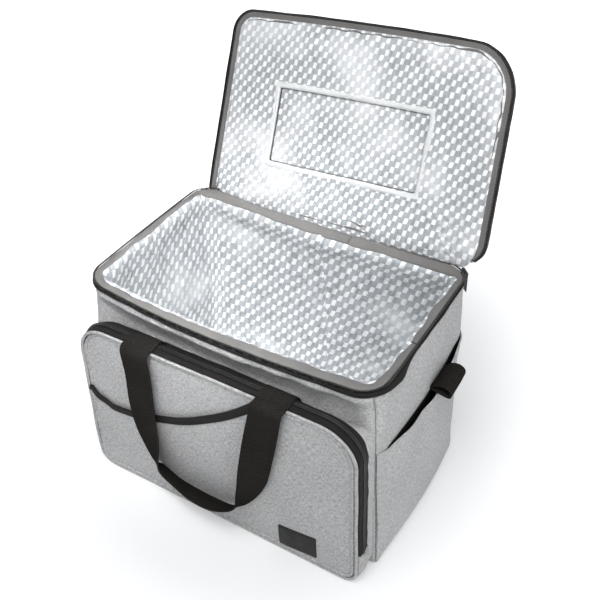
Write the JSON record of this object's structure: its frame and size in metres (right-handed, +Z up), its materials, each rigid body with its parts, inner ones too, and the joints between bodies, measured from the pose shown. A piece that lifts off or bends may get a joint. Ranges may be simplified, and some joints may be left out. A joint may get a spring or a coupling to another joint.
{
  "type": "insulated cooler bag",
  "caption": "Soft box-shaped insulated cooler bag with a foil-lined zip lid thrown back, quick-access flap, zipped front pocket, slip pocket, side pockets and webbing carry handles.",
  "frame": {"origin": "middle of the underside of the main box's base", "axes": "+X across the front to the bag's right as seen from the front, +Y from the front pocket towards the lid's hinge, +Z up"},
  "size_m": [0.456, 0.4099, 0.5148],
  "materials": {
    "grey_cloth": "woven heather polyester",
    "grey_piping": "corded seam piping",
    "grey_binding": "smooth bias tape",
    "foam": "closed-cell foam sheet",
    "foil": "reflective printed film",
    "foil_frame": "welded film edge",
    "board": "stiff plastic board",
    "black_tape": "woven zip tape and binding",
    "zip_teeth": "nylon coil",
    "black_webbing": "polypropylene webbing",
    "grip_tape": "hook and loop tape",
    "patch": "bare moulded patch",
    "black_metal": "black enamel"
  },
  "bodies": {
    "bag": {"outer_front": "grey_cloth", "outer_back": "grey_cloth", "outer_left": "grey_cloth", "outer_right": "grey_cloth", "outer_base": "grey_cloth", "corner_piping": "grey_piping", "base_board": "board", "foam_base": "foam", "foam_front": "foam", "foam_back": "foam", "foam_left": "foam", "foam_right": "foam", "foam_corners": "foam", "foil_liner": "foil", "rim_binding": "grey_binding", "body_zip_tape": "black_tape", "body_zip_teeth": "zip_teeth", "hinge_strip": "grey_cloth", "hinge_piping": "grey_piping", "pocket_gusset": "grey_cloth", "pocket_floor": "grey_cloth", "pocket_tape_rear": "black_tape", "pocket_tape_front": "black_tape", "pocket_teeth": "zip_teeth", "pocket_piping": "grey_piping", "pocket_front": "grey_cloth", "zip_wraps": "grey_cloth", "slip_pocket": "grey_cloth", "slip_edge": "black_tape", "patch": "patch", "side_pocket_left": "grey_cloth", "side_pocket_right": "grey_cloth", "side_loop_left": "black_webbing", "side_loop_right": "black_webbing"},
    "lid": {"lid_outer": "grey_cloth", "lid_band": "grey_cloth", "lid_zip_tape": "black_tape", "lid_zip_teeth": "zip_teeth", "lid_binding": "grey_binding", "lid_foam": "foam", "lid_liner": "foil", "window_frame": "foil_frame", "loop_strips": "grip_tape", "flap_piping": "grey_piping"},
    "flap": {"flap_outer": "grey_cloth", "flap_foam": "foam", "flap_liner": "foil", "flap_tab": "black_webbing", "hook_strips": "grip_tape"},
    "handle_roots": {"handle_roots": "black_webbing"},
    "front_handle": {"front_handle": "black_webbing"},
    "back_handle": {"back_handle": "black_webbing"},
    "rim_slider_left": {"rim_slider_left": "black_metal"},
    "rim_slider_right": {"rim_slider_right": "black_metal"},
    "rim_pull_left": {"rim_pull_left": "black_metal"},
    "rim_pull_right": {"rim_pull_right": "black_metal"},
    "pocket_slider": {"pocket_slider": "black_metal"},
    "pocket_pull": {"pocket_pull": "black_metal"}
  },
  "joints": [
    {"name": "lid_hinge", "type": "hinge", "parent": "bag", "child": "lid", "pos_m": [0, 0.123, 0.292], "axis": [-1, 0, 0], "range_deg": [-115, 65]},
    {"name": "flap_hinge", "type": "hinge", "parent": "lid", "child": "flap", "pos_m": [0, 0.15288, 0.31823], "axis": [1, 0, 0], "range_deg": [-150, 0]},
    {"name": "handle_root_fold", "type": "hinge", "parent": "bag", "child": "handle_roots", "pos_m": [0, -0.1251, 0.259], "axis": [-1, 0, 0], "range_deg": [0, 90]},
    {"name": "front_handle_fold", "type": "hinge", "parent": "handle_roots", "child": "front_handle", "pos_m": [0, -0.16825, 0.259], "axis": [-1, 0, 0], "range_deg": [0, 90]},
    {"name": "back_handle_fold", "type": "hinge", "parent": "bag", "child": "back_handle", "pos_m": [0, 0.12525, 0.259], "axis": [-1, 0, 0], "range_deg": [-140, 0]},
    {"name": "rim_slider_right_travel", "type": "hinge", "parent": "bag", "child": "rim_slider_right", "pos_m": [0.17, 0.093, 0.2914], "axis": [0, 0, -1], "range_deg": [0, 45]},
    {"name": "rim_slider_left_travel", "type": "hinge", "parent": "bag", "child": "rim_slider_left", "pos_m": [-0.17, 0.093, 0.2914], "axis": [0, 0, 1], "range_deg": [0, 45]},
    {"name": "rim_pull_right_swing", "type": "hinge", "parent": "rim_slider_right", "child": "rim_pull_right", "pos_m": [0.19475, 0.11775, 0.2869], "axis": [0.7071, -0.7071, 0], "range_deg": [0, 75]},
    {"name": "rim_pull_left_swing", "type": "hinge", "parent": "rim_slider_left", "child": "rim_pull_left", "pos_m": [-0.19475, 0.11775, 0.2869], "axis": [0.7071, 0.7071, 0], "range_deg": [0, 75]},
    {"name": "pocket_slider_travel", "type": "slide", "parent": "bag", "child": "pocket_slider", "axis": [0, 0, 1], "range_m": [0, 0.15]},
    {"name": "pocket_pull_swing", "type": "hinge", "parent": "pocket_slider", "child": "pocket_pull", "pos_m": [-0.201, -0.1455, 0.052], "axis": [0, 1, 0], "range_deg": [0, 75]}
  ]
}
